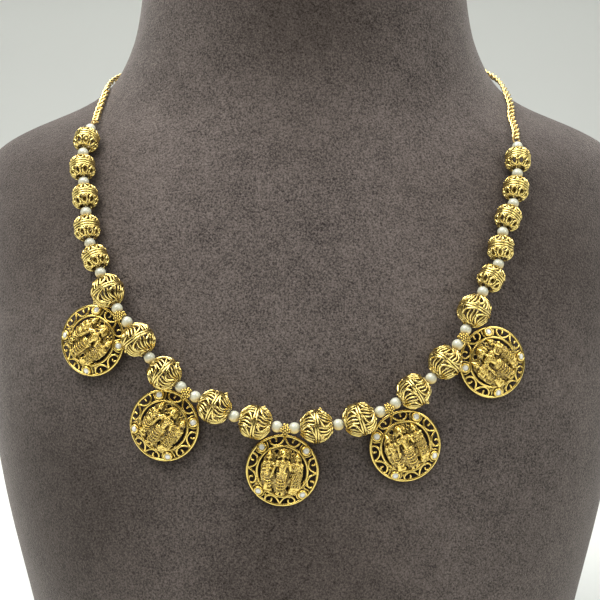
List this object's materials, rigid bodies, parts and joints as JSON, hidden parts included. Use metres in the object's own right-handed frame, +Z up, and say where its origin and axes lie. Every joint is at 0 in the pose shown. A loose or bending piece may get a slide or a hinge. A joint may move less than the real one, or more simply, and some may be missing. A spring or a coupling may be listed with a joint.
{
  "type": "temple jewellery necklace on a neck bust",
  "caption": "Gold temple jewellery necklace of openwork medallions, filigree beads and pearls, lying on a plain suede neck bust.",
  "frame": {"origin": "middle of the footprint of the whole part, on the flat base of the bust", "axes": "+Z up along the neck, front of the bust towards -Y, +X to the right as seen from the front"},
  "size_m": [0.256, 0.158, 0.275],
  "materials": {
    "suede": "dark taupe suede with a short soft nap",
    "medallion_gold": "antique yellow gold, cast and polished, dark in the recesses",
    "bead_gold": "antique yellow gold wirework",
    "chain_gold": "polished yellow gold",
    "pearl": "white nacre with a soft lustre",
    "stone": "colourless cut stone",
    "thread": "gold coloured twisted thread"
  },
  "bodies": {
    "root": {"neck_bust": "suede", "thread": "thread", "pearls_left": "pearl", "pearls_right": "pearl", "round_bead_1": "bead_gold", "round_bead_2": "bead_gold", "round_bead_3": "bead_gold", "round_bead_4": "bead_gold", "round_bead_5": "bead_gold", "round_bead_6": "bead_gold", "round_bead_7": "bead_gold", "round_bead_8": "bead_gold", "round_bead_9": "bead_gold", "round_bead_10": "bead_gold", "barrel_bead_1": "bead_gold", "barrel_bead_2": "bead_gold", "barrel_bead_3": "bead_gold", "barrel_bead_4": "bead_gold", "barrel_bead_5": "bead_gold", "barrel_bead_6": "bead_gold", "barrel_bead_7": "bead_gold", "barrel_bead_8": "bead_gold", "barrel_bead_9": "bead_gold", "barrel_bead_10": "bead_gold", "medallion_1": "medallion_gold", "medallion_2": "medallion_gold", "medallion_3": "medallion_gold", "medallion_4": "medallion_gold", "medallion_5": "medallion_gold", "stones_1": "stone", "stones_2": "stone", "stones_3": "stone", "stones_4": "stone", "stones_5": "stone", "chain_left": "chain_gold", "chain_right": "chain_gold", "clasp": "chain_gold"}
  },
  "joints": []
}
